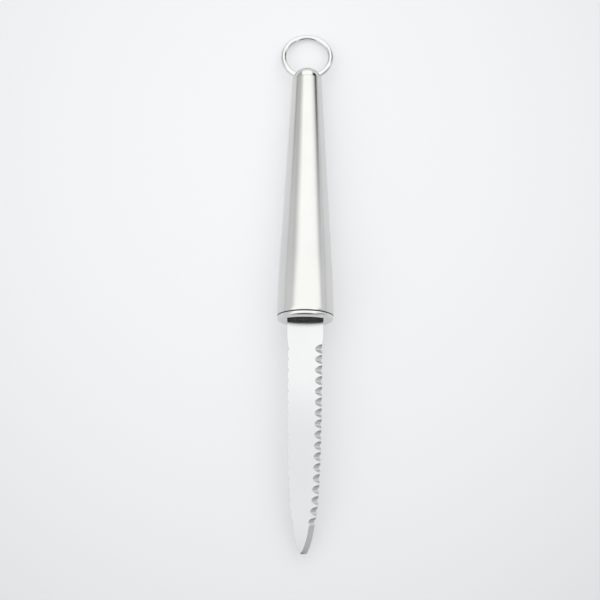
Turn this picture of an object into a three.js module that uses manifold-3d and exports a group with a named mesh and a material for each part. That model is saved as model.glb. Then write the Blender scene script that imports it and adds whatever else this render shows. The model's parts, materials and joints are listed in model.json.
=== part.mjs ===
// Grapefruit knife: a double-edged, scalloped blade in a tapered hollow steel handle with a hanging ring.
// Units are millimetres and +Z is up. The knife lies on its handle: the blade points to -Y, the ring to +Y.
// Everything but the ring is laid out in the handle's own frame, whose +Y axis is the handle's axis with
// y = 0 at the seam between handle and front cap. That frame is then tipped until the taper lies flat.

import * as THREE from 'three';
import { mergeVertices } from 'three/addons/utils/BufferGeometryUtils.js';
import Module from 'manifold-3d';

const wasm = await Module();
wasm.setup();

// ---- Driving dimensions ------------------------------------------------------------------------------

const SIDES = 32; // flats round every turned piece, one of them facing straight down

// Handle: a straight taper that eases to nearly parallel over its front stretch
const TAPER = 0.058; // radius lost per millimetre of length
const TAPER_START = 26; // where the straight taper begins
const TAPER_START_RADIUS = 11.5;
const MOUTH_RADIUS = 12.47;
const WALL = 0.9;
const SHELL_FRONT = 0.45;
const WELD = 110.3; // where the tube meets the domed end cap
const TILT = Math.atan(TAPER);

// Domed end cap
const DOME_BASE = 109.5;
const DOME_LENGTH = 6.4;
const DOME_WALL = 0.6;
const DOME_STEPS = 9;
const SPIGOT_DEPTH = 5;

// Hanging ring and the two side holes that it turns in
const RING_AXIS = 112.9;
const RING_RADIUS = 10.7;
const WIRE_RADIUS = 1.25;
const RING_HOLE_RADIUS = 2.1;
const RING_HALF_CHORD = 5.35; // from the handle's axis to the middle of the wall, where the wire crosses it
const RING_REACH = Math.sqrt(RING_RADIUS ** 2 - RING_HALF_CHORD ** 2);
const WIRE_SIDES = 12;
const RING_STEPS = 56;
const FLOOR_CLEARANCE = 0.03;

// Front cap and its seal
const CAP_FACE = -1.9;
const CAP_FACE_RADIUS = 11.5;
const CAP_RADIUS = 12.4;
const CAP_BACK = -0.45;
const CAP_EDGE_BACK = -0.9; // where the rounded front edge begins
const CAP_PLATE_BACK = 1.2;
const OPENING_HALF_HEIGHT = 7.7; // of the cap's opening, which the blade fills from side to side
const OPENING_ARC_RADIUS = 14.4; // of the opening's shallow round top and bottom
const OPENING_STEPS = 14;
const CAP_SLEEVE_END = 8.5;
const CAP_SLEEVE_WALL = 1.3;
const CAP_EDGE_STEPS = 6;
const SEAL_HALF_THICKNESS = 0.25;
const SEAL_INSET = 0.12; // how far the seal stays below the handle's surface

// Blade: straight where it leaves the cap, then curving gently downwards
const BLADE_THICKNESS = 1.1;
const BLADE_STRAIGHT = 22.6;
const BLADE_BEND_RADIUS = 230;
const BLADE_BEND_ANGLE = 0.37;
const BLADE_BEND_STEPS = 18;
const BLADE_ROOT_HALF_WIDTH = 7.83;
const BLADE_TIP = -104.1;

// Scallops along both edges
const SCALLOPS = 17;
const SCALLOP_PITCH = 4.71;
const FIRST_SCALLOP = 12.8; // along the blade from the cap's face
const SCALLOP_RADIUS = 2.6;
const SCALLOP_DEPTH = 3.0; // from the tooth tips to the inner end of each ground facet
const GRIND_ANGLE = THREE.MathUtils.degToRad(24);

// Tang, core and rivets inside the handle
const SHOULDER = 0.6; // the blade narrows to the tang from here to TANG_START
const TANG_START = 3;
const TANG_HALF_WIDTH = 4.5;
const TANG_END = 62;
const RIVET_POSITIONS = { tang_rivet_front: 22, tang_rivet_rear: 50 };
const RIVET_RADIUS = 1.5;
const RIVET_HALF_LENGTH = 5.5;
const RIVET_HEAD_RADIUS = 2.6;
const RIVET_HEAD_HEIGHT = 0.8;
const RIVET_SIDES = 20;
const CORE_FRONT = 9;
const CORE_REAR = 92;
const NOSE_FRONT = -0.9; // the core's nose fills the cap's opening, a millimetre behind its face

const GAP = 0.3; // running and assembly clearance between separate pieces

// ---- Materials ---------------------------------------------------------------------------------------

function metal(color, roughness) {
  return new THREE.MeshStandardMaterial({ color, roughness, metalness: 1 });
}

function polymer(color, roughness) {
  return new THREE.MeshStandardMaterial({ color, roughness, metalness: 0 });
}

const brushedSteel = () => metal(0xb9bab4, 0.38);
const polishedSteel = () => metal(0xc9cacb, 0.08);
const bladeSteel = () => metal(0xd2d4d6, 0.24);
const rivetSteel = () => metal(0xa9abab, 0.45);
const blackRubber = () => polymer(0x141414, 0.8);
const blackPlastic = () => polymer(0x1c1d1e, 0.6);

// ---- Helpers -----------------------------------------------------------------------------------------

const X_AXIS = new THREE.Vector3(1, 0, 0);
const Y_AXIS = new THREE.Vector3(0, 1, 0);
const Z_AXIS = new THREE.Vector3(0, 0, 1);

function toSolid(geometry) {
  const bare = geometry.clone();
  bare.deleteAttribute('normal');
  bare.deleteAttribute('uv');
  const merged = mergeVertices(bare, 1e-5);
  const mesh = new wasm.Mesh({
    numProp: 3,
    vertProperties: new Float32Array(merged.attributes.position.array),
    triVerts: new Uint32Array(merged.index.array),
  });
  return new wasm.Manifold(mesh);
}

function toGeometry(solid) {
  const mesh = solid.getMesh();
  const geometry = new THREE.BufferGeometry();
  geometry.setAttribute('position', new THREE.BufferAttribute(new Float32Array(mesh.vertProperties), 3));
  geometry.setIndex(new THREE.BufferAttribute(new Uint32Array(mesh.triVerts), 1));
  geometry.computeVertexNormals();
  return geometry;
}

function named(name, geometry, material) {
  const mesh = new THREE.Mesh(geometry, material);
  mesh.name = name;
  return mesh;
}

// A turned piece from [radius, y] points whose flats, not corners, lie at the stated radii
function turned(points, sides = SIDES) {
  const scale = 1 / Math.cos(Math.PI / sides);
  const profile = points.map(([radius, y]) => new THREE.Vector2(radius * scale, y));
  return new THREE.LatheGeometry(profile, sides, Math.PI / sides);
}

function box(width, length, height, x, y, z) {
  return new THREE.BoxGeometry(width, length, height).translate(x, y, z);
}

function cylinderAlongZ(radius, height, y) {
  const cylinder = new THREE.CylinderGeometry(radius, radius, height, 24);
  return cylinder.rotateX(Math.PI / 2).translate(0, y, 0);
}

// ---- Handle ------------------------------------------------------------------------------------------

function handleRadius(y) {
  const ahead = Math.max(0, TAPER_START - y);
  const easing = (TAPER_START_RADIUS + TAPER * TAPER_START - MOUTH_RADIUS) / TAPER_START ** 2;
  return TAPER_START_RADIUS + TAPER * (TAPER_START - y) - easing * ahead ** 2;
}

function boreRadius(y) {
  return handleRadius(y) - WALL;
}

function stations(from, to) {
  const inner = [5, 10, 16, 21, TAPER_START].filter((y) => y > from && y < to);
  return [from, ...inner, to];
}

function makeHandleShell() {
  const ys = stations(SHELL_FRONT, WELD - GAP / 2);
  const outside = ys.map((y) => [handleRadius(y), y]);
  const inside = ys.map((y) => [boreRadius(y), y]).reverse();
  return named('handle_shell', turned([...outside, ...inside, outside[0]]), brushedSteel());
}

// Points on the dome's profile, from the given y to its top on the axis
function domePoints(radius, length, firstY) {
  const start = Math.asin((firstY - DOME_BASE) / length);
  const points = [];
  for (let i = 0; i <= DOME_STEPS; i += 1) {
    const angle = start + ((Math.PI / 2 - start) * i) / DOME_STEPS;
    points.push([i === DOME_STEPS ? 0 : radius * Math.cos(angle), DOME_BASE + length * Math.sin(angle)]);
  }
  return points;
}

function makeEndCap() {
  const weldFace = WELD + GAP / 2;
  const domeRadius = handleRadius(DOME_BASE);
  const outside = domePoints(domeRadius, DOME_LENGTH, weldFace);
  const inside = domePoints(domeRadius - DOME_WALL, DOME_LENGTH - DOME_WALL, DOME_BASE).reverse();
  const spigotRadius = boreRadius(WELD) - GAP;
  const spigotFront = WELD - SPIGOT_DEPTH;
  const spigot = [
    [spigotRadius - DOME_WALL, spigotFront],
    [spigotRadius, spigotFront],
    [spigotRadius, weldFace],
  ];
  const body = toSolid(turned([...inside, ...spigot, ...outside]));
  const hole = new THREE.CylinderGeometry(RING_HOLE_RADIUS, RING_HOLE_RADIUS, 4 * domeRadius, 32);
  hole.rotateZ(Math.PI / 2).translate(0, RING_AXIS, 0);
  return named('end_cap', toGeometry(body.subtract(toSolid(hole))), brushedSteel());
}

// ---- Front cap and seal ------------------------------------------------------------------------------

// The cap's opening, smaller all round by an inset: flat sides and a shallow round top and bottom
function openingPrism(inset, front, rear) {
  const halfWidth = BLADE_ROOT_HALF_WIDTH + GAP - inset;
  const outline = [];
  for (const side of [1, -1]) {
    for (let i = 0; i <= OPENING_STEPS; i += 1) {
      const x = side * halfWidth * (1 - (2 * i) / OPENING_STEPS);
      const drop = OPENING_ARC_RADIUS - Math.sqrt(OPENING_ARC_RADIUS ** 2 - x ** 2);
      outline.push(new THREE.Vector2(x, side * (OPENING_HALF_HEIGHT - inset - drop)));
    }
  }
  const prism = new THREE.ExtrudeGeometry(new THREE.Shape(outline), {
    depth: rear - front,
    bevelEnabled: false,
  });
  return prism.rotateX(Math.PI / 2).translate(0, rear, 0);
}

function makeFrontCap() {
  const edge = [];
  for (let i = 0; i <= CAP_EDGE_STEPS; i += 1) {
    const angle = ((Math.PI / 2) * i) / CAP_EDGE_STEPS;
    edge.push([
      CAP_FACE_RADIUS + (CAP_RADIUS - CAP_FACE_RADIUS) * Math.sin(angle),
      CAP_EDGE_BACK + (CAP_FACE - CAP_EDGE_BACK) * Math.cos(angle),
    ]);
  }
  const sleeveFront = boreRadius(0) - GAP;
  const sleeveRear = boreRadius(CAP_SLEEVE_END) - GAP;
  const body = toSolid(
    turned([
      [0, CAP_FACE],
      ...edge,
      [CAP_RADIUS, CAP_BACK],
      [sleeveFront, CAP_BACK],
      [sleeveRear, CAP_SLEEVE_END],
      [sleeveRear - CAP_SLEEVE_WALL, CAP_SLEEVE_END],
      [sleeveRear - CAP_SLEEVE_WALL, CAP_PLATE_BACK],
      [0, CAP_PLATE_BACK],
    ]),
  );
  const opening = toSolid(openingPrism(0, CAP_FACE - 1, CAP_PLATE_BACK + 1));
  return named('front_cap', toGeometry(body.subtract(opening)), polishedSteel());
}

function makeSealRing() {
  const inner = boreRadius(0) - 0.1;
  const outer = MOUTH_RADIUS - SEAL_INSET;
  const half = SEAL_HALF_THICKNESS;
  const loop = [
    [outer, -half],
    [outer, half],
    [inner, half],
    [inner, -half],
    [outer, -half],
  ];
  return named('seal_ring', turned(loop), blackRubber());
}

// ---- Blade -------------------------------------------------------------------------------------------

// Place on the blade's middle surface at a length measured from the cap's face
function bladePoint(length) {
  const turn = Math.max(0, length - BLADE_STRAIGHT) / BLADE_BEND_RADIUS;
  const straight = Math.min(length, BLADE_STRAIGHT);
  return {
    y: CAP_FACE - straight - BLADE_BEND_RADIUS * Math.sin(turn),
    z: -BLADE_BEND_RADIUS * (1 - Math.cos(turn)),
    turn,
  };
}

// The rolled strip that the blade is cut from, seen from the side
function bladeStrip() {
  const half = BLADE_THICKNESS / 2;
  const bendStart = CAP_FACE - BLADE_STRAIGHT;
  const upper = [];
  const lower = [];
  for (let i = 0; i <= BLADE_BEND_STEPS; i += 1) {
    const turn = (BLADE_BEND_ANGLE * i) / BLADE_BEND_STEPS;
    const top = BLADE_BEND_RADIUS + half;
    const bottom = BLADE_BEND_RADIUS - half;
    upper.push([bendStart - top * Math.sin(turn), top * Math.cos(turn) - BLADE_BEND_RADIUS]);
    lower.push([bendStart - bottom * Math.sin(turn), bottom * Math.cos(turn) - BLADE_BEND_RADIUS]);
  }
  const outline = [[TANG_END, half], ...upper, ...lower.reverse(), [TANG_END, -half]];
  const side = new THREE.Shape(outline.map(([y, z]) => new THREE.Vector2(y, z)));
  const strip = new THREE.ExtrudeGeometry(side, { depth: 40, bevelEnabled: false });
  // The shape's x and y become the handle's y and z, and its depth runs along x
  strip.translate(0, 0, -20);
  strip.applyMatrix4(new THREE.Matrix4().makeBasis(Y_AXIS, Z_AXIS, X_AXIS));
  return toSolid(strip);
}

// Half of the blade's outline through its tooth tips, from the end of the root to the point
const EDGE = new THREE.SplineCurve([
  new THREE.Vector2(7.42, -13),
  new THREE.Vector2(7.42, -34),
  new THREE.Vector2(7.16, -58),
  new THREE.Vector2(6.2, -80.5),
  new THREE.Vector2(4.55, -91.4),
  new THREE.Vector2(3.25, -97.6),
  new THREE.Vector2(1.5, -102.2),
  new THREE.Vector2(0, BLADE_TIP),
]);
const EDGE_STEPS = 48;

// Distance from the centre line to the tooth tips at a given y
function edgeHalfWidth(y) {
  const points = EDGE.getPoints(4 * EDGE_STEPS);
  const next = points.findIndex((point) => point.y <= y);
  if (next <= 0) {
    return points[0].x;
  }
  const a = points[next - 1];
  const b = points[next];
  return a.x + ((b.x - a.x) * (y - a.y)) / (b.y - a.y);
}

function bladeOutline() {
  const right = [
    new THREE.Vector2(TANG_HALF_WIDTH, TANG_END),
    new THREE.Vector2(TANG_HALF_WIDTH, TANG_START),
    new THREE.Vector2(BLADE_ROOT_HALF_WIDTH, SHOULDER),
    new THREE.Vector2(BLADE_ROOT_HALF_WIDTH, -8.6),
    new THREE.Vector2(BLADE_ROOT_HALF_WIDTH - 0.15, -10.6),
    ...EDGE.getPoints(EDGE_STEPS),
  ];
  const left = right
    .slice(0, -1)
    .reverse()
    .map((point) => new THREE.Vector2(-point.x, point.y));
  const blank = new THREE.ExtrudeGeometry(new THREE.Shape([...right, ...left]), {
    depth: 80,
    bevelEnabled: false,
  });
  return toSolid(blank.translate(0, 0, -60));
}

// A grinding wheel's path across one edge. side is +1 or -1, and face is +1 for the top
// and -1 for the underside.
function scallopCutter(length, side, face) {
  const place = bladePoint(length);
  const tipLine = edgeHalfWidth(place.y);
  const reach = 8;
  const wheel = new THREE.CylinderGeometry(SCALLOP_RADIUS, SCALLOP_RADIUS, 2 * reach, 32);
  // Along x and tipped so that the groove runs out through the edge, then lifted by its own radius
  wheel.rotateZ(-Math.PI / 2);
  wheel.translate(reach - SCALLOP_RADIUS / Math.tan(GRIND_ANGLE), 0, SCALLOP_RADIUS);
  wheel.rotateY(GRIND_ANGLE);
  wheel.translate(tipLine - SCALLOP_DEPTH, 0, BLADE_THICKNESS / 2);
  wheel.scale(side, 1, face);
  wheel.rotateX(place.turn);
  wheel.translate(0, place.y, place.z);
  return wheel;
}

function makeBlade() {
  let blade = bladeStrip().intersect(bladeOutline());
  for (let i = 0; i < SCALLOPS; i += 1) {
    const length = FIRST_SCALLOP + i * SCALLOP_PITCH;
    blade = blade.subtract(toSolid(scallopCutter(length, 1, 1)));
    blade = blade.subtract(toSolid(scallopCutter(length, -1, -1)));
  }
  for (const y of Object.values(RIVET_POSITIONS)) {
    blade = blade.subtract(toSolid(cylinderAlongZ(RIVET_RADIUS + GAP, 4, y)));
  }
  return named('blade', toGeometry(blade), bladeSteel());
}

// ---- Core and rivets ---------------------------------------------------------------------------------

function makeCoreHalf(name, face) {
  const ys = stations(CORE_FRONT, CORE_REAR);
  const flank = ys.map((y) => [boreRadius(y) - GAP, y]);
  const plug = toSolid(turned([[0, CORE_FRONT], ...flank, [0, CORE_REAR]]));
  const nose = toSolid(openingPrism(GAP, NOSE_FRONT, CORE_FRONT + 1));
  const length = CORE_REAR - NOSE_FRONT;
  const middle = (NOSE_FRONT + CORE_REAR) / 2;
  const side = toSolid(box(40, length + 2, 20, 0, middle, face * (10 + GAP / 2)));
  let half = plug.add(nose).intersect(side);
  const slotHeight = BLADE_THICKNESS + 2 * GAP;
  half = half.subtract(toSolid(box(2 * (TANG_HALF_WIDTH + GAP), 2 * TANG_END + 1, slotHeight, 0, 0, 0)));
  half = half.subtract(toSolid(box(40, 2 * (TANG_START + GAP), slotHeight, 0, 0, 0)));
  for (const y of Object.values(RIVET_POSITIONS)) {
    half = half.subtract(toSolid(cylinderAlongZ(RIVET_RADIUS + GAP, 40, y)));
    const pocket = cylinderAlongZ(RIVET_HEAD_RADIUS + GAP, 20, y);
    pocket.translate(0, 0, face * (10 + RIVET_HALF_LENGTH - RIVET_HEAD_HEIGHT - GAP));
    half = half.subtract(toSolid(pocket));
  }
  return named(name, toGeometry(half), blackPlastic());
}

function makeRivet(name, y) {
  const neck = RIVET_HALF_LENGTH - RIVET_HEAD_HEIGHT;
  const rivet = turned(
    [
      [0, -RIVET_HALF_LENGTH],
      [RIVET_HEAD_RADIUS, -RIVET_HALF_LENGTH],
      [RIVET_HEAD_RADIUS, -neck],
      [RIVET_RADIUS, -neck],
      [RIVET_RADIUS, neck],
      [RIVET_HEAD_RADIUS, neck],
      [RIVET_HEAD_RADIUS, RIVET_HALF_LENGTH],
      [0, RIVET_HALF_LENGTH],
    ],
    RIVET_SIDES,
  );
  const mesh = named(name, rivet, rivetSteel());
  mesh.rotation.x = Math.PI / 2;
  mesh.position.y = y;
  return mesh;
}

// ---- Hanging ring ------------------------------------------------------------------------------------

// The ring turns about the line through its two holes, and at rest its far side lies on the table
function makeHangingRing(axisHeight) {
  const fall = axisHeight - WIRE_RADIUS - FLOOR_CLEARANCE;
  const swing = Math.asin(fall / (RING_REACH + RING_RADIUS)) - TILT;
  const wire = new THREE.TorusGeometry(RING_RADIUS, WIRE_RADIUS, WIRE_SIDES, RING_STEPS);
  const ring = named('hanging_ring', wire, polishedSteel());
  ring.position.set(0, RING_AXIS + RING_REACH * Math.cos(swing), -RING_REACH * Math.sin(swing));
  ring.rotation.x = -swing;
  return ring;
}

// ---- Assembly ----------------------------------------------------------------------------------------

const tool = new THREE.Group();
const coneRadiusAtSeam = TAPER_START_RADIUS + TAPER * TAPER_START;
const seamHeight = coneRadiusAtSeam * Math.cos(TILT);
tool.add(makeHandleShell());
tool.add(makeEndCap());
tool.add(makeFrontCap());
tool.add(makeSealRing());
tool.add(makeBlade());
tool.add(makeCoreHalf('core_upper', 1));
tool.add(makeCoreHalf('core_lower', -1));
for (const [name, y] of Object.entries(RIVET_POSITIONS)) {
  tool.add(makeRivet(name, y));
}
tool.add(makeHangingRing(seamHeight - RING_AXIS * Math.sin(TILT)));
tool.rotation.x = -TILT;
tool.position.z = seamHeight;

// The row's origin is the middle of the knife's length and width, on the table
const knife = new THREE.Group();
knife.add(tool);
knife.updateMatrixWorld(true);
const extent = new THREE.Box3().setFromObject(knife, true);
tool.position.y -= (extent.min.y + extent.max.y) / 2;

export default knife;
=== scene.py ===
"""Grapefruit knife: a tapered satin handle with a hanging ring, and a scalloped double-edged blade.

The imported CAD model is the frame. Each visible steel piece is remade here as a fine mesh in its place,
and the pieces hidden in the handle keep their CAD meshes. Shapes are written in millimetres in the
handle's own frame: x across, y along the axis towards the ring with 0 at the seam, z up.
"""

import json
import math

import bmesh
import bpy
from mathutils import Matrix, Vector


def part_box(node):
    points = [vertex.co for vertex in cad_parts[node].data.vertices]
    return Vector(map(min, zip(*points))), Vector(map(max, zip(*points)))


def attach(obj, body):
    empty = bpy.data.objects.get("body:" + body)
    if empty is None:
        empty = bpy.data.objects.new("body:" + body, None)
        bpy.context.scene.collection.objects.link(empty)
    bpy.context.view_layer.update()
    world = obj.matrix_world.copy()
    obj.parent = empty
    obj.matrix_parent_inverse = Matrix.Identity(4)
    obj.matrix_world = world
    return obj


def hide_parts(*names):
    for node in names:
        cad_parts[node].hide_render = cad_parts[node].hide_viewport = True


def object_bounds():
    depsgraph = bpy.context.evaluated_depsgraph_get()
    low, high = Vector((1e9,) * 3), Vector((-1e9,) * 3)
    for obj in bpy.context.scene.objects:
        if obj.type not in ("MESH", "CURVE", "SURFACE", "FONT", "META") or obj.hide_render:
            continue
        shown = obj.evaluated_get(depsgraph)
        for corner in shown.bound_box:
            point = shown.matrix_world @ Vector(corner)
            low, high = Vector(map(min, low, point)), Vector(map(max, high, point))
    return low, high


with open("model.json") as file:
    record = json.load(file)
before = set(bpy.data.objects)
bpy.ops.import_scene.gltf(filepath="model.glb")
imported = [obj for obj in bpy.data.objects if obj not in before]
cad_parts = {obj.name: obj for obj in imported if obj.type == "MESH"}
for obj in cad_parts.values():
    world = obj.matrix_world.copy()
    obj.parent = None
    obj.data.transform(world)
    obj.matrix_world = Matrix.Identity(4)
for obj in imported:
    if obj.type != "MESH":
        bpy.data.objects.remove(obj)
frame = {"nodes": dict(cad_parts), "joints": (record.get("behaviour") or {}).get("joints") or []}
cad_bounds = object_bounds()

MM = 0.001

# ---- Frame: the handle's axis runs from the seam to the hanging ring's hinge -------------------------


def centre_of(node):
    low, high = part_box(node)
    return (low + high) / 2


def basis(x, y, origin):
    """A matrix with the given x and y axes and origin."""
    z = x.cross(y)
    return Matrix.Translation(origin) @ Matrix((x, y, z)).transposed().to_4x4()


ACROSS = Vector((1, 0, 0))
SEAM = centre_of("seal_ring")
HINGE = Vector(frame["joints"][0]["pos_m"])
TOOL = basis(ACROSS, (HINGE - SEAM).normalized(), SEAM)
RING_NODE = frame["nodes"]["hanging_ring"].data
RING_CENTRE = sum((v.co for v in RING_NODE.vertices), Vector()) / len(RING_NODE.vertices)
RING = basis(ACROSS, (RING_CENTRE - HINGE).normalized(), RING_CENTRE)

# ---- Driving dimensions, millimetres -----------------------------------------------------------------

TAPER = 0.058  # radius lost per millimetre of length
TAPER_START = 26  # ahead of this the taper eases to the mouth
TAPER_START_RADIUS = 11.5
MOUTH_RADIUS = 12.47
WALL = 0.9
SHELL_FRONT = 0.2  # where the handle's front rim begins
RIM_ROUND = 0.22  # rounding of the handle's rolled front rim
WELD = 110.3  # joint between the handle and its end cap
WELD_GROOVE = 0.025

DOME_BASE = 109.5
DOME_LENGTH = 6.4
DOME_WALL = 0.6
SPIGOT_DEPTH = 5
RING_AXIS = (HINGE - SEAM).length / MM
RING_HOLE_RADIUS = 2.3  # lets the round wire clear both rims over its whole swing
RING_RADIUS = 10.7
WIRE_RADIUS = 1.25

CAP_FACE = -1.9
CAP_FACE_RADIUS = 11.5
CAP_RADIUS = 12.4
CAP_BACK = -0.2
CAP_BACK_CHAMFER = 0.1
CAP_EDGE_BACK = -0.9  # where the rounded front edge begins
CAP_PLATE_BACK = 1.2
OPENING_HALF_HEIGHT = 7.7
OPENING_ARC_RADIUS = 14.4
CAP_SLEEVE_END = 8.5
CAP_SLEEVE_WALL = 1.3
SEAL_HALF_THICKNESS = SHELL_FRONT - 0.02  # the seal stops just short of the handle's rim
SEAL_INSET = 0.16  # how far the seal stays below the handle's surface

BLADE_THICKNESS = 1.1
BLADE_STRAIGHT = 22.6
BLADE_BEND_RADIUS = 230
STRIP_TURN = 0.37  # radians that the strip bends through, which takes it past the tip
STRIP_HALF_WIDTH = 20
BLADE_ROOT_HALF_WIDTH = 7.83
BLADE_TIP = -104.1
SHOULDER = 0.6
TANG_START = 3
TANG_HALF_WIDTH = 4.5
TANG_END = 62
SCALLOPS = 17
SCALLOP_PITCH = 4.71
FIRST_SCALLOP = 12.8
SCALLOP_RADIUS = 2.6
SCALLOP_DEPTH = 3.0  # the right edge is ground from above and the left edge from below
WHEEL_HALF_LENGTH = 8
GRIND_ANGLE = math.radians(24)
BEVEL_WIDTH = 2.4  # the plain ground edge between the last scallop and the tip
BEVEL_START = -90.5
BEVEL_OVERRUN = 0.4  # how far the bevel's cutter runs on inwards, above the blade's skin
BEVEL_OVERHANG = 1.0  # how far it runs on outwards, past the edge
BEVEL_HEADROOM = 3
EDGE_LAND = 0.12  # thickness left at the plain edge
RIVET_POSITIONS = (22, 50)
RIVET_HOLE_RADIUS = 1.8
GAP = 0.3  # clearance between two fitted pieces

# Half of the blade's outline through its tooth tips, as (half width, y)
EDGE = ((7.42, -13), (7.42, -34), (7.16, -58), (6.2, -80.5), (4.55, -91.4), (3.25, -97.6), (1.5, -102.2),
        (0, BLADE_TIP))

# ---- Fineness ----------------------------------------------------------------------------------------

ROUND_STEPS = 192
SHELL_STEPS = 60
RIM_STEPS = 6
DOME_STEPS = 40
DOME_INSIDE_STEPS = 24
CAP_EDGE_STEPS = 16
OPENING_STEPS = 40
RING_HOLE_STEPS = 64
RIVET_HOLE_STEPS = 48
STRIP_STEPS = 96
EDGE_SPAN_STEPS = 16
WHEEL_STEPS = 96
WIRE_STEPS = 40
SHARP_ANGLE = 28  # degrees at which a smooth surface breaks into an edge
BLADE_SHARP_ANGLE = 14

# ---- Materials ---------------------------------------------------------------------------------------


class Shader:
    """A node material with one Principled shader and short helpers for procedural detail."""

    def __init__(self, name):
        self.material = bpy.data.materials.new(name)
        self.material.use_nodes = True
        self.nodes = self.material.node_tree.nodes
        self.links = self.material.node_tree.links
        self.principled = self.nodes["Principled BSDF"]
        self.coordinates = self.nodes.new("ShaderNodeTexCoord")

    def set(self, **values):
        for name, value in values.items():
            self.principled.inputs[name.replace("_", " ")].default_value = value

    def noise(self, scale, detail=3.0, roughness=0.55):
        """Noise stretched by its scale in features per metre along x, y and z."""
        mapping = self.nodes.new("ShaderNodeMapping")
        mapping.inputs["Scale"].default_value = scale
        self.links.new(self.coordinates.outputs["Object"], mapping.inputs["Vector"])
        noise = self.nodes.new("ShaderNodeTexNoise")
        noise.inputs["Scale"].default_value = 1.0
        noise.inputs["Detail"].default_value = detail
        noise.inputs["Roughness"].default_value = roughness
        self.links.new(mapping.outputs["Vector"], noise.inputs["Vector"])
        return noise.outputs["Fac"]

    def ramp(self, value, low, high):
        """A noise value's usual range, 0.3 to 0.7, spread over low to high."""
        spread = self.nodes.new("ShaderNodeMapRange")
        spread.inputs["From Min"].default_value = 0.3
        spread.inputs["From Max"].default_value = 0.7
        spread.inputs["To Min"].default_value = low
        spread.inputs["To Max"].default_value = high
        self.links.new(value, spread.inputs["Value"])
        return spread.outputs["Result"]

    def tint(self, value, dark, light):
        """Base colour from dark to light."""
        mix = self.nodes.new("ShaderNodeMix")
        mix.data_type = "RGBA"
        mix.inputs["A"].default_value = (*dark, 1)
        mix.inputs["B"].default_value = (*light, 1)
        self.links.new(self.ramp(value, 0, 1), mix.inputs["Factor"])
        self.links.new(mix.outputs["Result"], self.principled.inputs["Base Color"])

    def roughen(self, value, low, high):
        self.links.new(self.ramp(value, low, high), self.principled.inputs["Roughness"])

    def bump(self, value, height, strength=1.0):
        """Relief, height in metres."""
        bump = self.nodes.new("ShaderNodeBump")
        bump.inputs["Strength"].default_value = strength
        bump.inputs["Distance"].default_value = height
        self.links.new(value, bump.inputs["Height"])
        self.links.new(bump.outputs["Normal"], self.principled.inputs["Normal"])

    def brushed_round_axis(self, amount):
        """Brushing lines that run round the piece's y axis, so highlights stretch along it."""
        tangent = self.nodes.new("ShaderNodeTangent")
        tangent.direction_type = "RADIAL"
        tangent.axis = "Y"
        self.links.new(tangent.outputs["Tangent"], self.principled.inputs["Tangent"])
        self.set(Anisotropic=amount, Anisotropic_Rotation=0.25)


def satin_steel():
    shader = Shader("satin_steel")
    shader.set(Metallic=1.0)
    lines = shader.noise((90, 5200, 90), detail=4)
    cloud = shader.noise((60, 45, 60), detail=2)
    shader.tint(cloud, (0.655, 0.655, 0.64), (0.685, 0.685, 0.672))
    shader.roughen(lines, 0.13, 0.17)
    shader.bump(lines, 0.000001)
    shader.brushed_round_axis(0.4)
    return shader.material


def polished_steel():
    shader = Shader("polished_steel")
    shader.set(Metallic=1.0)
    haze = shader.noise((420, 420, 420), detail=4)
    shader.tint(haze, (0.66, 0.66, 0.655), (0.70, 0.70, 0.695))
    shader.roughen(haze, 0.06, 0.09)
    ripple = shader.noise((900, 900, 900), detail=2)
    shader.bump(ripple, 0.0000003)
    return shader.material


def blade_steel():
    shader = Shader("blade_steel")
    shader.set(Metallic=1.0)
    lines = shader.noise((160, 5200, 160), detail=4)
    cloud = shader.noise((70, 50, 70), detail=2)
    shader.tint(cloud, (0.632, 0.637, 0.644), (0.648, 0.653, 0.66))
    shader.roughen(lines, 0.145, 0.165)
    shader.bump(lines, 0.0000001)
    return shader.material


def ground_steel():
    """The hollow-ground facets, with grinding lines running out to the edge."""
    shader = Shader("ground_steel")
    shader.set(Metallic=1.0)
    lines = shader.noise((260, 6500, 260), detail=3)
    shader.tint(lines, (0.53, 0.53, 0.535), (0.59, 0.59, 0.595))
    shader.roughen(lines, 0.36, 0.42)
    shader.bump(lines, 0.000003)
    return shader.material


def rivet_steel():
    shader = Shader("rivet_steel")
    shader.set(Metallic=1.0)
    grain = shader.noise((900, 900, 900), detail=4)
    shader.tint(grain, (0.38, 0.38, 0.375), (0.46, 0.46, 0.455))
    shader.roughen(grain, 0.38, 0.52)
    shader.bump(grain, 0.00001)
    return shader.material


def matt_polymer(name, dark, light, grain_scale, roughness, relief):
    shader = Shader(name)
    grain = shader.noise((grain_scale, grain_scale, grain_scale), detail=5)
    shader.tint(grain, dark, light)
    shader.roughen(grain, *roughness)
    shader.bump(grain, relief)
    shader.set(Specular_IOR_Level=0.25)
    return shader.material


SATIN = satin_steel()
POLISHED = polished_steel()
BLADE_STEEL = blade_steel()
GROUND = ground_steel()
RIVET = rivet_steel()
RUBBER = matt_polymer(
    "seal_rubber",
    dark=(0.012, 0.012, 0.012),
    light=(0.022, 0.022, 0.021),
    grain_scale=1500,
    roughness=(0.62, 0.8),
    relief=0.00002,
)
PLASTIC = matt_polymer(
    "core_plastic",
    dark=(0.012, 0.0125, 0.013),
    light=(0.02, 0.0205, 0.021),
    grain_scale=700,
    roughness=(0.5, 0.68),
    relief=0.00003,
)

# ---- Mesh helpers ------------------------------------------------------------------------------------


def crisp(built, sharp=SHARP_ANGLE):
    """The object smooth apart from edges sharper than an angle in degrees."""
    built.data.shade_smooth()
    built.data.set_sharp_from_angle(angle=math.radians(sharp))
    return built


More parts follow.
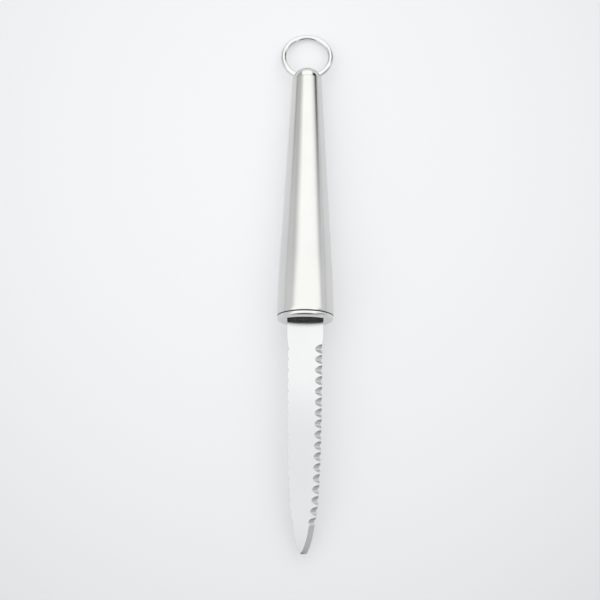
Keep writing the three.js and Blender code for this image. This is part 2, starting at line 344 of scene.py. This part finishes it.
def piece(name, bm, material, matrix=TOOL):
    """An object from a bmesh in millimetres in the matrix's frame, its mesh placed in the part's frame."""
    bmesh.ops.recalc_face_normals(bm, faces=bm.faces)
    mesh = bpy.data.meshes.new(name)
    bm.to_mesh(mesh)
    bm.free()
    mesh.transform(matrix @ Matrix.Scale(MM, 4))
    mesh.materials.append(material)
    built = bpy.data.objects.new(name, mesh)
    bpy.context.scene.collection.objects.link(built)
    return crisp(built)


def turned(points, steps=ROUND_STEPS):
    """A closed body turned about y from (radius, y) points. A profile starts and ends on the axis or
    closes on itself."""
    bm = bmesh.new()
    rings = []
    for radius, y in points:
        if radius == 0:
            rings.append([bm.verts.new((0, y, 0))] * steps)
            continue
        angles = [2 * math.pi * i / steps for i in range(steps)]
        rings.append([bm.verts.new((radius * math.sin(a), y, radius * math.cos(a))) for a in angles])
    pairs = list(zip(rings, rings[1:]))
    if points[0][0] != 0:
        pairs.append((rings[-1], rings[0]))
    for a, b in pairs:
        for i in range(steps):
            j = (i + 1) % steps
            corners = list(dict.fromkeys((a[i], a[j], b[j], b[i])))
            if len(corners) > 2:
                bm.faces.new(corners)
    return bm


def rod(radius, reach, steps):
    """A solid cylinder along y, from -reach to reach."""
    return turned([(0, -reach), (radius, -reach), (radius, reach), (0, reach)], steps)


def prism(outline, low, high, axes):
    """A closed body from a 2-D outline, swept from low to high. axes(u, v, w) gives its 3-D point."""
    bm = bmesh.new()
    near = [bm.verts.new(axes(u, v, low)) for u, v in outline]
    far = [bm.verts.new(axes(u, v, high)) for u, v in outline]
    bm.faces.new(near)
    bm.faces.new(far[::-1])
    for i, vertex in enumerate(near):
        j = (i + 1) % len(near)
        bm.faces.new((vertex, far[i], far[j], near[j]))
    return bm


def joined(parts):
    """One bmesh holding all the given ones."""
    whole = bmesh.new()
    for part in parts:
        scratch = bpy.data.meshes.new("scratch")
        part.to_mesh(scratch)
        part.free()
        whole.from_mesh(scratch)
        bpy.data.meshes.remove(scratch)
    return whole


def carve(target, bm, operation="DIFFERENCE", material=None):
    """Cuts target with a bmesh in the handle's frame and keeps the result as its mesh. The cut faces take
    the given material, or target's own."""
    cutter = piece("cutter", bm, material or target.data.materials[0])
    modifier = target.modifiers.new("carve", "BOOLEAN")
    modifier.operation = operation
    modifier.solver = "EXACT"
    modifier.material_mode = "TRANSFER"
    modifier.object = cutter
    graph = bpy.context.evaluated_depsgraph_get()
    carved = bpy.data.meshes.new_from_object(target.evaluated_get(graph))
    target.modifiers.clear()
    target.data = carved
    bpy.data.objects.remove(cutter)
    return target


def arc(cx, cy, rx, ry, start, end, steps):
    """Points on an elliptical arc, its angles in degrees from the first axis."""
    turns = [math.radians(start + (end - start) * i / steps) for i in range(steps + 1)]
    return [(cx + rx * math.cos(a), cy + ry * math.sin(a)) for a in turns]


# ---- Handle, end cap, front cap, seal ----------------------------------------------------------------


def handle_radius(y):
    """Outside radius of the handle: a straight taper that eases to the mouth."""
    ahead = max(0, TAPER_START - y)
    easing = (TAPER_START_RADIUS + TAPER * TAPER_START - MOUTH_RADIUS) / TAPER_START**2
    return TAPER_START_RADIUS + TAPER * (TAPER_START - y) - easing * ahead**2


def handle_shell():
    rear = WELD - WELD_GROOVE
    front = SHELL_FRONT + RIM_ROUND
    ys = [front + (rear - WELD_GROOVE - front) * i / SHELL_STEPS for i in range(SHELL_STEPS + 1)]
    rim = arc(handle_radius(front) - RIM_ROUND, front, RIM_ROUND, RIM_ROUND, -90, 0, RIM_STEPS)[:-1]
    outside = [(handle_radius(y), y) for y in ys]
    back_edge = [(handle_radius(rear) - WELD_GROOVE, rear)]
    inside = [(handle_radius(y) - WALL, y) for y in (rear, TAPER_START, 16, 8, SHELL_FRONT)]
    return piece("handle_shell_fine", turned([*rim, *outside, *back_edge, *inside]), SATIN)


def end_cap():
    radius = handle_radius(DOME_BASE)
    face = WELD + WELD_GROOVE
    start = math.degrees(math.asin((face + WELD_GROOVE - DOME_BASE) / DOME_LENGTH))
    outside = arc(0, DOME_BASE, radius, DOME_LENGTH, start, 90, DOME_STEPS)[:-1]
    inside = arc(0, DOME_BASE, radius - DOME_WALL, DOME_LENGTH - DOME_WALL, 90, 0, DOME_INSIDE_STEPS)[1:]
    spigot = handle_radius(WELD) - WALL - GAP
    profile = [
        (0, DOME_BASE + DOME_LENGTH - DOME_WALL),
        *inside,
        (spigot - DOME_WALL, WELD - SPIGOT_DEPTH),
        (spigot, WELD - SPIGOT_DEPTH),
        (spigot, face),
        (outside[0][0] - WELD_GROOVE, face),
        *outside,
        (0, DOME_BASE + DOME_LENGTH),
    ]
    cap = piece("end_cap_fine", turned(profile), SATIN)
    hole = rod(RING_HOLE_RADIUS, 20, RING_HOLE_STEPS)
    bmesh.ops.rotate(hole, verts=hole.verts, matrix=Matrix.Rotation(math.pi / 2, 3, "Z"))
    bmesh.ops.translate(hole, verts=hole.verts, vec=(0, RING_AXIS, 0))
    return crisp(carve(cap, hole))


def front_cap():
    edge_out = CAP_RADIUS - CAP_FACE_RADIUS
    edge_rise = CAP_FACE - CAP_EDGE_BACK
    edge = arc(CAP_FACE_RADIUS, CAP_EDGE_BACK, edge_out, edge_rise, 90, 0, CAP_EDGE_STEPS)
    sleeve_front = handle_radius(0) - WALL - GAP
    sleeve_rear = handle_radius(CAP_SLEEVE_END) - WALL - GAP
    profile = [
        (0, CAP_FACE),
        *edge,
        (CAP_RADIUS, CAP_BACK - CAP_BACK_CHAMFER),
        (CAP_RADIUS - CAP_BACK_CHAMFER, CAP_BACK),
        (sleeve_front, CAP_BACK),
        (sleeve_rear, CAP_SLEEVE_END),
        (sleeve_rear - CAP_SLEEVE_WALL, CAP_SLEEVE_END),
        (sleeve_rear - CAP_SLEEVE_WALL, CAP_PLATE_BACK),
        (0, CAP_PLATE_BACK),
    ]
    cap = piece("front_cap_fine", turned(profile), POLISHED)
    # The opening is barely wider than the blade, with a bowed top and bottom
    corner = math.degrees(math.acos((BLADE_ROOT_HALF_WIDTH + GAP / 3) / OPENING_ARC_RADIUS))
    centre = OPENING_HALF_HEIGHT - OPENING_ARC_RADIUS
    top = arc(0, centre, OPENING_ARC_RADIUS, OPENING_ARC_RADIUS, corner, 180 - corner, OPENING_STEPS)
    bottom = [(-u, -v) for u, v in top]
    opening = prism([*top, *bottom], CAP_FACE - 1, CAP_PLATE_BACK + 1, lambda u, v, w: (u, w, v))
    return crisp(carve(cap, opening))


def seal_ring():
    outer = MOUTH_RADIUS - SEAL_INSET
    inner = handle_radius(0) - WALL - 0.1
    half = SEAL_HALF_THICKNESS
    profile = [(outer, -half), (outer, half), (inner, half), (inner, -half)]
    return piece("seal_ring_fine", turned(profile), RUBBER)


# ---- Blade -------------------------------------------------------------------------------------------


def bend_at(y):
    """Height of the blade's middle surface and its turn at a given y."""
    ahead = max(0, CAP_FACE - BLADE_STRAIGHT - y)
    turn = math.asin(ahead / BLADE_BEND_RADIUS)
    return -BLADE_BEND_RADIUS * (1 - math.cos(turn)), turn


def y_at(length):
    """y of the place at a length along the blade from the cap's face."""
    turn = max(0, length - BLADE_STRAIGHT) / BLADE_BEND_RADIUS
    return CAP_FACE - min(length, BLADE_STRAIGHT) - BLADE_BEND_RADIUS * math.sin(turn)


def edge_points(steps):
    """A smooth curve through the edge's points, as Catmull-Rom spans."""
    ends = [EDGE[0], *EDGE, EDGE[-1]]
    result = []
    for a, b, c, d in zip(ends, ends[1:], ends[2:], ends[3:]):
        a, b, c, d = (Vector(p) for p in (a, b, c, d))
        for i in range(steps):
            t = i / steps
            start_slope = (c - a) / 2
            end_slope = (d - b) / 2
            rise = c - b
            point = b + start_slope * t
            point += (3 * rise - 2 * start_slope - end_slope) * t**2
            point += (start_slope + end_slope - 2 * rise) * t**3
            result.append(tuple(point))
    return [*result, EDGE[-1]]


EDGE_LINE = edge_points(EDGE_SPAN_STEPS)


def edge_half_width(y):
    """Half width of the blade between its tooth tips."""
    for (xa, ya), (xb, yb) in zip(EDGE_LINE, EDGE_LINE[1:]):
        if yb <= y:
            return xa + (xb - xa) * min(1, max(0, (y - ya) / (yb - ya)))
    return 0


def blade_strip():
    """The bent strip that the blade and its tang are cut from."""
    half = BLADE_THICKNESS / 2
    start = CAP_FACE - BLADE_STRAIGHT
    upper, lower = [], []
    for i in range(STRIP_STEPS + 1):
        turn = STRIP_TURN * i / STRIP_STEPS
        for side, line in ((half, upper), (-half, lower)):
            radius = BLADE_BEND_RADIUS + side
            line.append((start - radius * math.sin(turn), radius * math.cos(turn) - BLADE_BEND_RADIUS))
    outline = [(TANG_END, half), *upper, *lower[::-1], (TANG_END, -half)]
    return prism(outline, -STRIP_HALF_WIDTH, STRIP_HALF_WIDTH, lambda u, v, w: (w, u, v))


def blade_outline():
    """The blade and tang seen from above, as a tall prism."""
    right = [
        (TANG_HALF_WIDTH, TANG_END - 0.2),
        (TANG_HALF_WIDTH, TANG_START),
        (BLADE_ROOT_HALF_WIDTH, SHOULDER),
        (BLADE_ROOT_HALF_WIDTH, -8.6),
        (BLADE_ROOT_HALF_WIDTH - 0.05, -9.8),
        (BLADE_ROOT_HALF_WIDTH - 0.2, -11),
        *EDGE_LINE,
    ]
    left = [(-x, y) for x, y in right[:-1]][::-1]
    return prism([*right, *left], -60, 20, lambda u, v, w: (u, v, w))


def scallop_wheel(length, side, face):
    """A grinding wheel's path across one edge: side is +1 or -1, and face is +1 for the top."""
    y = y_at(length)
    z, turn = bend_at(y)
    wheel = rod(SCALLOP_RADIUS, WHEEL_HALF_LENGTH, WHEEL_STEPS)
    inset = edge_half_width(y) - SCALLOP_DEPTH
    slide = WHEEL_HALF_LENGTH - SCALLOP_RADIUS / math.tan(GRIND_ANGLE)
    place = (
        Matrix.Translation((0, y, z))
        @ Matrix.Rotation(turn, 4, "X")
        @ Matrix.Diagonal((side, 1, face, 1))
        @ Matrix.Translation((inset, 0, BLADE_THICKNESS / 2))
        @ Matrix.Rotation(GRIND_ANGLE, 4, "Y")
        @ Matrix.Translation((slide, 0, SCALLOP_RADIUS))
        @ Matrix.Rotation(-math.pi / 2, 4, "Z")
    )
    wheel.transform(place)
    return wheel


def bevel_cutter(side, face):
    """The wedge that grinds one plain edge from the last scallop to the tip."""
    half = BLADE_THICKNESS / 2
    line = [(x, y) for x, y in EDGE_LINE if y <= BEVEL_START]
    # The wedge's section as (inwards from the edge, height), past the blade's skin on both sides
    slope = (BLADE_THICKNESS - EDGE_LAND) / BEVEL_WIDTH
    section = (
        (BEVEL_WIDTH + BEVEL_OVERRUN, half + BEVEL_OVERRUN * slope),
        (-BEVEL_OVERHANG, half - (BEVEL_WIDTH + BEVEL_OVERHANG) * slope),
        (-BEVEL_OVERHANG, half + BEVEL_HEADROOM),
        (BEVEL_WIDTH + BEVEL_OVERRUN, half + BEVEL_HEADROOM),
    )
    bm = bmesh.new()
    loops = []
    for i, (x, y) in enumerate(line):
        before = Vector(line[max(0, i - 1)])
        after = Vector(line[min(len(line) - 1, i + 1)])
        along = (after - before).normalized()
        inwards = Vector((along.y, -along.x))
        loop = []
        for inset, height in section:
            flat = Vector((x, y)) + inwards * inset
            z, turn = bend_at(flat.y)
            up = face * height
            point = (side * flat.x, flat.y - up * math.sin(turn), z + up * math.cos(turn))
            loop.append(bm.verts.new(point))
        loops.append(loop)
    for a, b in zip(loops, loops[1:]):
        for i in range(4):
            j = (i + 1) % 4
            bm.faces.new((a[i], a[j], b[j], b[i]))
    bm.faces.new(loops[0])
    bm.faces.new(loops[-1][::-1])
    return bm


def blade():
    built = piece("blade_fine", blade_strip(), BLADE_STEEL)
    carve(built, blade_outline(), "INTERSECT")
    # Every other scallop at a time, so that no two wheels in one cut overlap
    for first in (0, 1):
        lengths = [FIRST_SCALLOP + i * SCALLOP_PITCH for i in range(first, SCALLOPS, 2)]
        wheels = [scallop_wheel(length, s, s) for length in lengths for s in (1, -1)]
        carve(built, joined(wheels), material=GROUND)
    for side in (1, -1):
        carve(built, bevel_cutter(side, side), material=GROUND)
    for y in RIVET_POSITIONS:
        hole = rod(RIVET_HOLE_RADIUS, 3, RIVET_HOLE_STEPS)
        bmesh.ops.rotate(hole, verts=hole.verts, matrix=Matrix.Rotation(math.pi / 2, 3, "X"))
        bmesh.ops.translate(hole, verts=hole.verts, vec=(0, y, 0))
        carve(built, hole)
    return crisp(built, BLADE_SHARP_ANGLE)


# ---- Hanging ring ------------------------------------------------------------------------------------


def hanging_ring():
    bm = bmesh.new()
    loops = []
    for i in range(ROUND_STEPS):
        a = 2 * math.pi * i / ROUND_STEPS
        loop = []
        for j in range(WIRE_STEPS):
            b = 2 * math.pi * j / WIRE_STEPS
            reach = RING_RADIUS + WIRE_RADIUS * math.cos(b)
            point = (reach * math.cos(a), reach * math.sin(a), WIRE_RADIUS * math.sin(b))
            loop.append(bm.verts.new(point))
        loops.append(loop)
    for i, loop in enumerate(loops):
        following = loops[(i + 1) % ROUND_STEPS]
        for j in range(WIRE_STEPS):
            k = (j + 1) % WIRE_STEPS
            bm.faces.new((loop[j], following[j], following[k], loop[k]))
    return piece("hanging_ring_fine", bm, POLISHED, RING)


# ---- Assembly ----------------------------------------------------------------------------------------

FINE_PIECES = (
    (handle_shell, "handle_shell", "handle", "satin_steel"),
    (end_cap, "end_cap", "handle", "satin_steel"),
    (front_cap, "front_cap", "handle", "polished_steel"),
    (seal_ring, "seal_ring", "handle", "seal_rubber"),
    (blade, "blade", "handle", "blade_steel"),
    (hanging_ring, "hanging_ring", "ring", "polished_steel"),
)
KEPT_NODES = {
    "core_upper": PLASTIC,
    "core_lower": PLASTIC,
    "tang_rivet_front": RIVET,
    "tang_rivet_rear": RIVET,
}

for build, node, body, slot in FINE_PIECES:
    built = build()
    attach(built, body)
    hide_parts(node)

for node, material in KEPT_NODES.items():
    mesh = frame["nodes"][node].data
    mesh.materials.clear()
    mesh.materials.append(material)

# ---- Floor, light and camera -------------------------------------------------------------------------

scene = bpy.context.scene
scene.view_settings.view_transform = "Standard"
scene.view_settings.look = "None"
scene.view_settings.exposure = 0
scene.view_settings.gamma = 1

FLOOR_SIZE = 12.0
FLOOR_TONE = (0.884, 0.891, 0.905)
FLOOR_PAINTED_GLOW = 0.42  # share of the floor's tone that it gives off itself as painted light, a glow that lifts the shadows on the floor
# Painted shade: the floor's tone below is darkened by position, away from the middle, in place of light
# falling off over the table.
FLOOR_REACH = 0.136  # metres from the middle over which the tone falls off
FLOOR_LEAST = 0.8
FALL_SIDEWAYS = -0.066  # change in tone at the reach, by the square of the distance sideways
FALL_LEANING = -0.012  # and in proportion to it
FALL_LENGTHWAYS = -0.054  # the same two, lengthways
RISE_LENGTHWAYS = 0.056
GRAIN_DEPTH = 0.02
GRAIN_MIDDLE = 0.99
FLOOR_DROP = 0.00002  # metres that the floor lies below the part

BACKDROP = (0.86, 0.87, 0.89, 1)

CAMERA_AIM_OFFSET = Vector((-0.0024, -0.00685, 0))  # metres from the middle of the part's box
CAMERA_ELEVATION = math.radians(79.42)
CAMERA_DISTANCE = 0.7923
CAMERA_ROLL = math.radians(0.46)
CAMERA_LENS = 108
CAMERA_SENSOR = 36


def pale_floor():
    """A white table with painted shade: its tone falls off softly towards the sides and the near edge, and
    it glows with part of that tone as painted light.
    """
    bm = bmesh.new()
    bmesh.ops.create_grid(bm, x_segments=2, y_segments=2, size=FLOOR_SIZE / MM / 2)
    shader = Shader("floor_paper")
    nodes, links = shader.nodes, shader.links
    place = nodes.new("ShaderNodeSeparateXYZ")
    links.new(shader.coordinates.outputs["Object"], place.inputs["Vector"])

    def math_node(operation, *values):
        node = nodes.new("ShaderNodeMath")
        node.operation = operation
        for socket, value in zip(node.inputs, values):
            if isinstance(value, (int, float)):
                socket.default_value = value
            else:
                links.new(value, socket)
        return node.outputs["Value"]

    # Painted shade: the tone falls off with the distance from the middle, sideways and lengthways.
    x = math_node("DIVIDE", place.outputs["X"], FLOOR_REACH)
    y = math_node("DIVIDE", place.outputs["Y"], FLOOR_REACH)
    sideways = math_node("MULTIPLY", math_node("MULTIPLY", x, x), FALL_SIDEWAYS)
    lengthways = math_node("MULTIPLY", y, math_node("MULTIPLY_ADD", y, FALL_LENGTHWAYS, RISE_LENGTHWAYS))
    leaning = math_node("MULTIPLY", x, FALL_LEANING)
    painted_falloff = math_node("ADD", math_node("ADD", sideways, lengthways), leaning)
    painted_shade_level = math_node("MAXIMUM", math_node("ADD", painted_falloff, 1), FLOOR_LEAST)
    tone = nodes.new("ShaderNodeVectorMath")
    tone.operation = "SCALE"
    tone.inputs[0].default_value = FLOOR_TONE
    links.new(painted_shade_level, tone.inputs["Scale"])
    speckle = shader.noise((900, 900, 900))
    grain = math_node("MULTIPLY_ADD", speckle, GRAIN_DEPTH, GRAIN_MIDDLE - FLOOR_PAINTED_GLOW)
    paper = nodes.new("ShaderNodeVectorMath")
    paper.operation = "SCALE"
    links.new(tone.outputs["Vector"], paper.inputs[0])
    links.new(grain, paper.inputs["Scale"])
    links.new(paper.outputs["Vector"], shader.principled.inputs["Base Color"])
    # Painted light: the floor glows with its own tone, which lifts the shadows cast on it.
    links.new(tone.outputs["Vector"], shader.principled.inputs["Emission Color"])
    shader.set(Roughness=0.9, Specular_IOR_Level=0.0, Emission_Strength=FLOOR_PAINTED_GLOW)
    height = cad_bounds[0][2] - FLOOR_DROP
    floor = piece("floor", bm, shader.material, Matrix.Translation((0, 0, height)))


def direction(x, y, z):
    return Vector((x, y, z)).normalized()


def studio_world():
    """Soft studio light as a function of direction, built from round soft-edged patches."""
    world = bpy.data.worlds.new("studio")
    world.use_nodes = True
    scene.world = world
    nodes = world.node_tree.nodes
    links = world.node_tree.links
    background = nodes["Background"]
    coordinates = nodes.new("ShaderNodeTexCoord")
    view = nodes.new("ShaderNodeVectorMath")
    view.operation = "NORMALIZE"
    links.new(coordinates.outputs["Generated"], view.inputs[0])

    def patch(under, towards, inner, outer, color, stretch=(1, 1, 1)):
        """color inside an angle of inner degrees about a direction, fading out by outer degrees. stretch
        below 1 along an axis lengthens the patch that way."""
        scaled = nodes.new("ShaderNodeVectorMath")
        scaled.operation = "MULTIPLY"
        scaled.inputs[1].default_value = stretch
        links.new(view.outputs["Vector"], scaled.inputs[0])
        unit = nodes.new("ShaderNodeVectorMath")
        unit.operation = "NORMALIZE"
        links.new(scaled.outputs["Vector"], unit.inputs[0])
        dot = nodes.new("ShaderNodeVectorMath")
        dot.operation = "DOT_PRODUCT"
        aim = Vector([a * b for a, b in zip(towards, stretch)]).normalized()
        dot.inputs[1].default_value = aim
        links.new(unit.outputs["Vector"], dot.inputs[0])
        fade = nodes.new("ShaderNodeMapRange")
        fade.interpolation_type = "SMOOTHSTEP"
        fade.inputs["From Min"].default_value = math.cos(math.radians(outer))
        fade.inputs["From Max"].default_value = math.cos(math.radians(inner))
        links.new(dot.outputs["Value"], fade.inputs["Value"])
        mix = nodes.new("ShaderNodeMix")
        mix.data_type = "RGBA"
        if isinstance(under, tuple):
            mix.inputs["A"].default_value = (*under, 1)
        else:
            links.new(under, mix.inputs["A"])
        mix.inputs["B"].default_value = (*color, 1)
        links.new(fade.outputs["Result"], mix.inputs["Factor"])
        return mix.outputs["Result"]

    # Even light from all round, then each patch over the ones before it
    color = (0.82, 0.83, 0.84)
    # Grey wall at table height, behind on the left
    color = patch(color, direction(-0.585, 0.81, 0), 28, 33, (0.45, 0.45, 0.42))
    # Long softbox overhead, leaning to the right
    color = patch(color, direction(0.59, -0.15, 0.79), 42, 55, (1.43, 1.43, 1.42), (0.31, 1, 1))
    # Grey at the right, towards which the blade's ground facets face
    color = patch(color, direction(0.88, -0.2, 0.42), 18, 28, (0.45, 0.45, 0.46))
    # Softer light above the near end
    color = patch(color, direction(0, -0.5, 0.866), 26, 47, (1.21, 1.21, 1.21))
    # Dark room low in front, beyond the blade's tip
    color = patch(color, direction(0, -1, 0.28), 30, 46.5, (0.08, 0.08, 0.085))
    # Small fainter grey, higher behind on the left
    color = patch(color, direction(-0.72, 0.58, 0.38), 9, 15, (0.65, 0.65, 0.62))
    # Wide softbox above the far end
    color = patch(color, direction(0, 0.85, 0.5), 34, 46, (1.43, 1.43, 1.42), (1.4, 1, 1))
    # Narrow black patch low behind on the right
    color = patch(color, direction(0.74, 0.645, 0.2), 14, 16.5, (0, 0, 0))
    links.new(color, background.inputs["Color"])
    background.inputs["Strength"].default_value = 1.0

    # What the camera itself sees past the floor's far edge is one plain pale tone
    backdrop = nodes.new("ShaderNodeBackground")
    backdrop.inputs["Color"].default_value = BACKDROP
    path = nodes.new("ShaderNodeLightPath")
    choose = nodes.new("ShaderNodeMixShader")
    links.new(path.outputs["Is Camera Ray"], choose.inputs["Fac"])
    links.new(background.outputs["Background"], choose.inputs[1])
    links.new(backdrop.outputs["Background"], choose.inputs[2])
    links.new(choose.outputs["Shader"], nodes["World Output"].inputs["Surface"])


def camera():
    low, high = (Vector(corner) for corner in cad_bounds)
    aim = (low + high) / 2 + CAMERA_AIM_OFFSET
    data = bpy.data.cameras.new("camera")
    data.sensor_width = CAMERA_SENSOR
    data.lens = CAMERA_LENS
    data.clip_end = 50
    built = bpy.data.objects.new("camera", data)
    scene.collection.objects.link(built)
    back = Vector((0, -math.cos(CAMERA_ELEVATION), math.sin(CAMERA_ELEVATION)))
    up = Vector((0, math.sin(CAMERA_ELEVATION), math.cos(CAMERA_ELEVATION)))
    roll = Matrix.Rotation(CAMERA_ROLL, 4, "Z")
    turned_to_aim = Matrix((ACROSS, up, back)).transposed().to_4x4()
    built.matrix_world = Matrix.Translation(aim + CAMERA_DISTANCE * back) @ turned_to_aim @ roll
    scene.camera = built


pale_floor()
studio_world()
camera()
